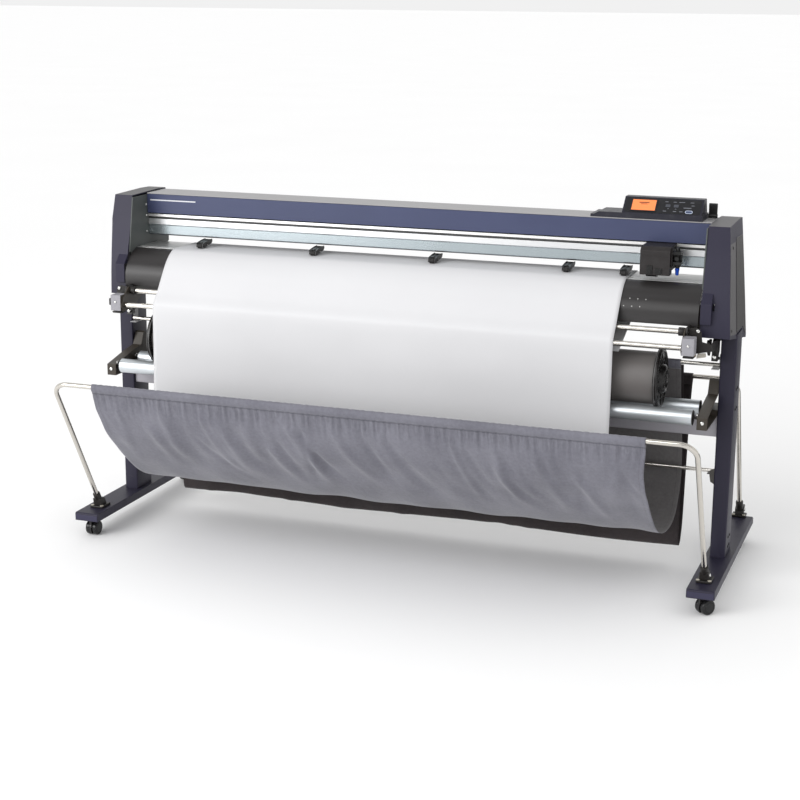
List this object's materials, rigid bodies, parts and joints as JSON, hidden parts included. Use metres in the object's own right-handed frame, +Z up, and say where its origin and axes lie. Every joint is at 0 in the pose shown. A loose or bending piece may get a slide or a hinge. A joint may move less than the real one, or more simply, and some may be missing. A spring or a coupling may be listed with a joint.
{
  "type": "roll cutter with stand",
  "caption": "Floor-standing roll-fed cutter for vinyl and film: a carriage runs along a rail over a bed, on a wheeled stand with cloth baskets.",
  "frame": {"origin": "on the floor, under the middle of the object's box", "axes": "+X along the rail to the operator's right, +Y away from the operator, +Z up"},
  "size_m": [2.213, 1.0015, 1.226],
  "materials": {
    "navy_paint": "satin textured paint",
    "blue_paint": "satin metallic paint",
    "grey_paint": "satin paint",
    "dark_plate": "matt paint",
    "cover_plastic": "fine moulded texture",
    "black_plastic": "fine moulded texture",
    "rubber": "matt",
    "aluminium": "satin anodised",
    "chrome": "polished",
    "bronze_paint": "satin paint",
    "guide_black": "fine semi-matt paint",
    "cloth_grey": "woven polyester",
    "cloth_black": "woven polyester",
    "media_white": "smooth matt film",
    "roll_grey": "wound film",
    "display_orange": "backlit, glossy",
    "key_grey": "smooth"
  },
  "bodies": {
    "machine": {"foot_beam_left": "navy_paint", "foot_beam_right": "navy_paint", "leg_left": "navy_paint", "leg_right": "navy_paint", "cross_beam": "grey_paint", "side_cover_left": "cover_plastic", "side_cover_right": "cover_plastic", "side_frame_left": "dark_plate", "side_frame_right": "dark_plate", "drive_motor": "black_plastic", "guide_rail": "aluminium", "front_cover": "blue_paint", "top_cover": "grey_paint", "power_inlet": "black_plastic", "platen": "aluminium", "front_guide": "guide_black", "control_panel": "cover_plastic", "display": "display_orange", "rod_bracket_left": "bronze_paint", "rod_bracket_right": "bronze_paint", "upper_rod": "chrome", "lower_rod": "chrome", "roller_bracket_left": "bronze_paint", "roller_bracket_right": "bronze_paint", "front_basket_bar": "chrome", "rear_basket_bar": "chrome", "middle_bar": "chrome", "hanging_bar": "chrome", "basket_cloth": "cloth_grey", "rear_cloth": "cloth_black", "media_sheet": "media_white"},
    "caster_front_left": {"caster_fork_front_left": "black_plastic"},
    "wheels_front_left": {"caster_wheels_front_left": "rubber"},
    "caster_front_right": {"caster_fork_front_right": "black_plastic"},
    "wheels_front_right": {"caster_wheels_front_right": "rubber"},
    "caster_rear_left": {"caster_fork_rear_left": "black_plastic"},
    "wheels_rear_left": {"caster_wheels_rear_left": "rubber"},
    "caster_rear_right": {"caster_fork_rear_right": "black_plastic"},
    "wheels_rear_right": {"caster_wheels_rear_right": "rubber"},
    "loaded_roll": {"roll_core": "black_plastic", "media_roll": "roll_grey"},
    "front_roller": {"stock_roller_front": "aluminium"},
    "rear_roller": {"stock_roller_rear": "aluminium"},
    "drive_shaft": {"drive_shaft": "chrome"},
    "set_lever": {"set_lever": "black_plastic"},
    "pinch_arm_1": {"pinch_arm_1": "black_plastic"},
    "pinch_wheel_1": {"pinch_wheel_1": "rubber"},
    "pinch_arm_2": {"pinch_arm_2": "black_plastic"},
    "pinch_wheel_2": {"pinch_wheel_2": "rubber"},
    "pinch_arm_3": {"pinch_arm_3": "black_plastic"},
    "pinch_wheel_3": {"pinch_wheel_3": "rubber"},
    "pinch_arm_4": {"pinch_arm_4": "black_plastic"},
    "pinch_wheel_4": {"pinch_wheel_4": "rubber"},
    "pinch_arm_5": {"pinch_arm_5": "black_plastic"},
    "pinch_wheel_5": {"pinch_wheel_5": "rubber"},
    "carriage": {"carriage": "black_plastic"},
    "tool": {"tool_holder": "black_plastic"},
    "key_enter": {"key_enter": "key_grey"},
    "key_left": {"key_left": "key_grey"},
    "key_right": {"key_right": "key_grey"}
  },
  "joints": [
    {"name": "swivel_front_left", "type": "hinge", "parent": "machine", "child": "caster_front_left", "pos_m": [-1.063, -0.274, 0.05], "axis": [0, 0, 1], "continuous": true},
    {"name": "roll_front_left", "type": "hinge", "parent": "caster_front_left", "child": "wheels_front_left", "pos_m": [-1.063, -0.26, 0.025], "axis": [1, 0, 0], "continuous": true},
    {"name": "swivel_front_right", "type": "hinge", "parent": "machine", "child": "caster_front_right", "pos_m": [1.063, -0.274, 0.05], "axis": [0, 0, 1], "continuous": true},
    {"name": "roll_front_right", "type": "hinge", "parent": "caster_front_right", "child": "wheels_front_right", "pos_m": [1.072, -0.26327, 0.025], "axis": [0.766, -0.6428, 0], "continuous": true},
    {"name": "swivel_rear_left", "type": "hinge", "parent": "machine", "child": "caster_rear_left", "pos_m": [-1.063, 0.462, 0.05], "axis": [0, 0, 1], "continuous": true},
    {"name": "roll_rear_left", "type": "hinge", "parent": "caster_rear_left", "child": "wheels_rear_left", "pos_m": [-1.063, 0.448, 0.025], "axis": [-1, 0, 0], "continuous": true},
    {"name": "swivel_rear_right", "type": "hinge", "parent": "machine", "child": "caster_rear_right", "pos_m": [1.063, 0.462, 0.05], "axis": [0, 0, 1], "continuous": true},
    {"name": "roll_rear_right", "type": "hinge", "parent": "caster_rear_right", "child": "wheels_rear_right", "pos_m": [1.063, 0.448, 0.025], "axis": [-1, 0, 0], "continuous": true},
    {"name": "roll_spin", "type": "hinge", "parent": "machine", "child": "loaded_roll", "pos_m": [0, -0.0925, 0.68879], "axis": [1, 0, 0], "continuous": true},
    {"name": "front_roller_spin", "type": "hinge", "parent": "machine", "child": "front_roller", "pos_m": [0, -0.159, 0.5895], "axis": [1, 0, 0], "continuous": true},
    {"name": "rear_roller_spin", "type": "hinge", "parent": "machine", "child": "rear_roller", "pos_m": [0, -0.026, 0.5895], "axis": [1, 0, 0], "continuous": true},
    {"name": "shaft_spin", "type": "hinge", "parent": "machine", "child": "drive_shaft", "pos_m": [0, 0, 0.9768], "axis": [1, 0, 0], "continuous": true},
    {"name": "lever_swing", "type": "hinge", "parent": "machine", "child": "set_lever", "pos_m": [0.968, 0.15, 1.1705], "axis": [1, 0, 0], "range_deg": [-40, 0]},
    {"name": "arm_lift_1", "type": "hinge", "parent": "machine", "child": "pinch_arm_1", "pos_m": [-0.757, 0.062, 1.0045], "axis": [1, 0, 0], "range_deg": [-6.5, 0]},
    {"name": "pinch_spin_1", "type": "hinge", "parent": "pinch_arm_1", "child": "pinch_wheel_1", "pos_m": [-0.757, 0, 0.9956], "axis": [1, 0, 0], "continuous": true},
    {"name": "arm_lift_2", "type": "hinge", "parent": "machine", "child": "pinch_arm_2", "pos_m": [-0.337, 0.062, 1.0045], "axis": [1, 0, 0], "range_deg": [-6.5, 0]},
    {"name": "pinch_spin_2", "type": "hinge", "parent": "pinch_arm_2", "child": "pinch_wheel_2", "pos_m": [-0.337, 0, 0.9956], "axis": [1, 0, 0], "continuous": true},
    {"name": "arm_lift_3", "type": "hinge", "parent": "machine", "child": "pinch_arm_3", "pos_m": [0.085, 0.062, 1.0045], "axis": [1, 0, 0], "range_deg": [-6.5, 0]},
    {"name": "pinch_spin_3", "type": "hinge", "parent": "pinch_arm_3", "child": "pinch_wheel_3", "pos_m": [0.085, 0, 0.9956], "axis": [1, 0, 0], "continuous": true},
    {"name": "arm_lift_4", "type": "hinge", "parent": "machine", "child": "pinch_arm_4", "pos_m": [0.535, 0.062, 1.0045], "axis": [1, 0, 0], "range_deg": [-6.5, 0]},
    {"name": "pinch_spin_4", "type": "hinge", "parent": "pinch_arm_4", "child": "pinch_wheel_4", "pos_m": [0.535, 0, 0.9956], "axis": [1, 0, 0], "continuous": true},
    {"name": "arm_lift_5", "type": "hinge", "parent": "machine", "child": "pinch_arm_5", "pos_m": [0.722, 0.062, 1.0045], "axis": [1, 0, 0], "range_deg": [-6.5, 0]},
    {"name": "pinch_spin_5", "type": "hinge", "parent": "pinch_arm_5", "child": "pinch_wheel_5", "pos_m": [0.722, 0, 0.9956], "axis": [1, 0, 0], "continuous": true},
    {"name": "carriage_slide", "type": "slide", "parent": "machine", "child": "carriage", "axis": [1, 0, 0], "range_m": [-1.64, 0.06]},
    {"name": "tool_lift", "type": "slide", "parent": "carriage", "child": "tool", "axis": [0, 0, 1], "range_m": [-0.014, 0], "stiffness_N_per_m": 120, "springref_m": 0.012},
    {"name": "key_enter_press", "type": "slide", "parent": "machine", "child": "key_enter", "axis": [0, -0.6771, 0.7359], "range_m": [-0.0015, 0], "stiffness_N_per_m": 300, "springref_m": 0.001},
    {"name": "key_left_press", "type": "slide", "parent": "machine", "child": "key_left", "axis": [0, -0.6771, 0.7359], "range_m": [-0.0015, 0], "stiffness_N_per_m": 300, "springref_m": 0.001},
    {"name": "key_right_press", "type": "slide", "parent": "machine", "child": "key_right", "axis": [0, -0.6771, 0.7359], "range_m": [-0.0015, 0], "stiffness_N_per_m": 300, "springref_m": 0.001}
  ],
  "couplings": [
    {"joint": "front_roller_spin", "follows": "roll_spin", "ratio": -3.9583},
    {"joint": "rear_roller_spin", "follows": "roll_spin", "ratio": -3.9583},
    {"joint": "arm_lift_1", "follows": "lever_swing", "ratio": 0.1625},
    {"joint": "pinch_spin_1", "follows": "shaft_spin", "ratio": -1.0625},
    {"joint": "arm_lift_2", "follows": "lever_swing", "ratio": 0.1625},
    {"joint": "pinch_spin_2", "follows": "shaft_spin", "ratio": -1.0625},
    {"joint": "arm_lift_3", "follows": "lever_swing", "ratio": 0.1625},
    {"joint": "pinch_spin_3", "follows": "shaft_spin", "ratio": -1.0625},
    {"joint": "arm_lift_4", "follows": "lever_swing", "ratio": 0.1625},
    {"joint": "pinch_spin_4", "follows": "shaft_spin", "ratio": -1.0625},
    {"joint": "arm_lift_5", "follows": "lever_swing", "ratio": 0.1625},
    {"joint": "pinch_spin_5", "follows": "shaft_spin", "ratio": -1.0625}
  ]
}
